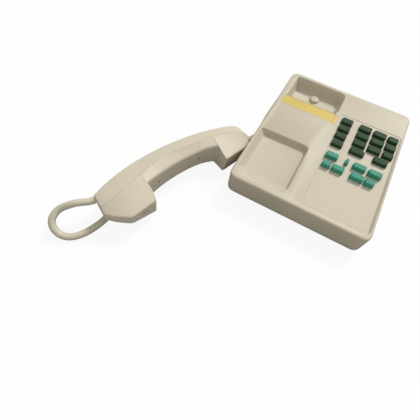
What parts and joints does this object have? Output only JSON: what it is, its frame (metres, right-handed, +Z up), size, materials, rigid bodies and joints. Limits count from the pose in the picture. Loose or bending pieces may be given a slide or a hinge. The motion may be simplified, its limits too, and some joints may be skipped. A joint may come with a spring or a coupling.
{
  "type": "push-button desk telephone",
  "caption": "Push-button desk telephone with sloping base, two wells for the handset, number keys in rows, a sprung hook button, and a handset on a cord lying beside it.",
  "frame": {"origin": "under the middle of the base, on the surface the feet stand on", "axes": "+Z up, +Y towards the back of the base where the sockets are, +X to the side with the keys"},
  "size_m": [0.3545, 0.4862, 0.0541],
  "materials": {
    "beige": "fine satin",
    "beige_shade": "fine satin",
    "panel": "fine satin",
    "strip": "matt",
    "foot_rubber": "matt",
    "screw_steel": "plain",
    "board": "solder-resist satin",
    "mat_rubber": "matt",
    "ribbon": "matt",
    "dark_parts": "matt",
    "ballast": "plain",
    "cord": "satin",
    "cord_plug": "satin",
    "handset": "fine satin",
    "lead_wire": "satin",
    "dark_key": "semi-gloss",
    "teal_key": "semi-gloss"
  },
  "bodies": {
    "base": {"upper_shell": "beige", "lower_shell": "beige_shade", "keypad_plate": "panel", "index_strip": "strip", "rubber_feet": "foot_rubber", "case_screws": "screw_steel", "main_board": "board", "keypad_board": "board", "key_mat": "mat_rubber", "ribbon_cable": "ribbon", "ringer": "dark_parts", "hook_switch": "dark_parts", "hook_spring": "screw_steel", "line_socket": "dark_parts", "handset_socket": "dark_parts", "ballast_plate": "ballast", "handset_cord": "cord", "handset_plug": "cord_plug"},
    "hook_plunger": {"hook_plunger": "beige_shade"},
    "key_a1": {"key_a1": "dark_key"},
    "key_a2": {"key_a2": "dark_key"},
    "key_a3": {"key_a3": "dark_key"},
    "key_a4": {"key_a4": "dark_key"},
    "key_b1": {"key_b1": "dark_key"},
    "key_b2": {"key_b2": "dark_key"},
    "key_b3": {"key_b3": "dark_key"},
    "key_b4": {"key_b4": "dark_key"},
    "key_c1": {"key_c1": "dark_key"},
    "key_c2": {"key_c2": "dark_key"},
    "key_c3": {"key_c3": "dark_key"},
    "key_c4": {"key_c4": "dark_key"},
    "key_d1": {"key_d1": "dark_key"},
    "key_d2": {"key_d2": "dark_key"},
    "key_d3": {"key_d3": "dark_key"},
    "key_e1": {"key_e1": "teal_key"},
    "key_e2": {"key_e2": "teal_key"},
    "key_e3": {"key_e3": "teal_key"},
    "key_e4": {"key_e4": "teal_key"},
    "key_f1": {"key_f1": "teal_key"},
    "key_f2": {"key_f2": "teal_key"},
    "key_f3": {"key_f3": "teal_key"},
    "key_f4": {"key_f4": "teal_key"},
    "handset": {"handset_back_shell": "handset", "handset_front_shell": "handset", "microphone": "dark_parts", "mic_seal": "mat_rubber", "receiver": "dark_parts", "receiver_seal": "mat_rubber", "handset_weight": "ballast", "handset_screws": "screw_steel", "cord_gland": "cord_plug", "handset_leads": "lead_wire"}
  },
  "joints": [
    {"name": "press_a1", "type": "slide", "parent": "base", "child": "key_a1", "axis": [0, 0.0854, -0.9963], "range_m": [0, 0.003], "stiffness_N_per_m": 300, "springref_m": -0.001},
    {"name": "press_a2", "type": "slide", "parent": "base", "child": "key_a2", "axis": [0, 0.0854, -0.9963], "range_m": [0, 0.003], "stiffness_N_per_m": 300, "springref_m": -0.001},
    {"name": "press_a3", "type": "slide", "parent": "base", "child": "key_a3", "axis": [0, 0.0854, -0.9963], "range_m": [0, 0.003], "stiffness_N_per_m": 300, "springref_m": -0.001},
    {"name": "press_a4", "type": "slide", "parent": "base", "child": "key_a4", "axis": [0, 0.0854, -0.9963], "range_m": [0, 0.003], "stiffness_N_per_m": 300, "springref_m": -0.001},
    {"name": "press_b1", "type": "slide", "parent": "base", "child": "key_b1", "axis": [0, 0.0854, -0.9963], "range_m": [0, 0.003], "stiffness_N_per_m": 300, "springref_m": -0.001},
    {"name": "press_b2", "type": "slide", "parent": "base", "child": "key_b2", "axis": [0, 0.0854, -0.9963], "range_m": [0, 0.003], "stiffness_N_per_m": 300, "springref_m": -0.001},
    {"name": "press_b3", "type": "slide", "parent": "base", "child": "key_b3", "axis": [0, 0.0854, -0.9963], "range_m": [0, 0.003], "stiffness_N_per_m": 300, "springref_m": -0.001},
    {"name": "press_b4", "type": "slide", "parent": "base", "child": "key_b4", "axis": [0, 0.0854, -0.9963], "range_m": [0, 0.003], "stiffness_N_per_m": 300, "springref_m": -0.001},
    {"name": "press_c1", "type": "slide", "parent": "base", "child": "key_c1", "axis": [0, 0.0854, -0.9963], "range_m": [0, 0.003], "stiffness_N_per_m": 300, "springref_m": -0.001},
    {"name": "press_c2", "type": "slide", "parent": "base", "child": "key_c2", "axis": [0, 0.0854, -0.9963], "range_m": [0, 0.003], "stiffness_N_per_m": 300, "springref_m": -0.001},
    {"name": "press_c3", "type": "slide", "parent": "base", "child": "key_c3", "axis": [0, 0.0854, -0.9963], "range_m": [0, 0.003], "stiffness_N_per_m": 300, "springref_m": -0.001},
    {"name": "press_c4", "type": "slide", "parent": "base", "child": "key_c4", "axis": [0, 0.0854, -0.9963], "range_m": [0, 0.003], "stiffness_N_per_m": 300, "springref_m": -0.001},
    {"name": "press_d1", "type": "slide", "parent": "base", "child": "key_d1", "axis": [0, 0.0854, -0.9963], "range_m": [0, 0.003], "stiffness_N_per_m": 300, "springref_m": -0.001},
    {"name": "press_d2", "type": "slide", "parent": "base", "child": "key_d2", "axis": [0, 0.0854, -0.9963], "range_m": [0, 0.003], "stiffness_N_per_m": 300, "springref_m": -0.001},
    {"name": "press_d3", "type": "slide", "parent": "base", "child": "key_d3", "axis": [0, 0.0854, -0.9963], "range_m": [0, 0.003], "stiffness_N_per_m": 300, "springref_m": -0.001},
    {"name": "press_e1", "type": "slide", "parent": "base", "child": "key_e1", "axis": [0, 0.0854, -0.9963], "range_m": [0, 0.003], "stiffness_N_per_m": 300, "springref_m": -0.001},
    {"name": "press_e2", "type": "slide", "parent": "base", "child": "key_e2", "axis": [0, 0.0854, -0.9963], "range_m": [0, 0.003], "stiffness_N_per_m": 300, "springref_m": -0.001},
    {"name": "press_e3", "type": "slide", "parent": "base", "child": "key_e3", "axis": [0, 0.0854, -0.9963], "range_m": [0, 0.003], "stiffness_N_per_m": 300, "springref_m": -0.001},
    {"name": "press_e4", "type": "slide", "parent": "base", "child": "key_e4", "axis": [0, 0.0854, -0.9963], "range_m": [0, 0.003], "stiffness_N_per_m": 300, "springref_m": -0.001},
    {"name": "press_f1", "type": "slide", "parent": "base", "child": "key_f1", "axis": [0, 0.0854, -0.9963], "range_m": [0, 0.003], "stiffness_N_per_m": 300, "springref_m": -0.001},
    {"name": "press_f2", "type": "slide", "parent": "base", "child": "key_f2", "axis": [0, 0.0854, -0.9963], "range_m": [0, 0.003], "stiffness_N_per_m": 300, "springref_m": -0.001},
    {"name": "press_f3", "type": "slide", "parent": "base", "child": "key_f3", "axis": [0, 0.0854, -0.9963], "range_m": [0, 0.003], "stiffness_N_per_m": 300, "springref_m": -0.001},
    {"name": "press_f4", "type": "slide", "parent": "base", "child": "key_f4", "axis": [0, 0.0854, -0.9963], "range_m": [0, 0.003], "stiffness_N_per_m": 300, "springref_m": -0.001},
    {"name": "hook_press", "type": "slide", "parent": "base", "child": "hook_plunger", "axis": [0, 0.0663, -0.9978], "range_m": [0, 0.0035], "stiffness_N_per_m": 200, "springref_m": -0.0015, "deforming": ["hook_spring"]},
    {"name": "handset_lift", "type": "slide", "parent": "base", "child": "handset", "axis": [0, 0, 1], "range_m": [0, 0.15]}
  ]
}
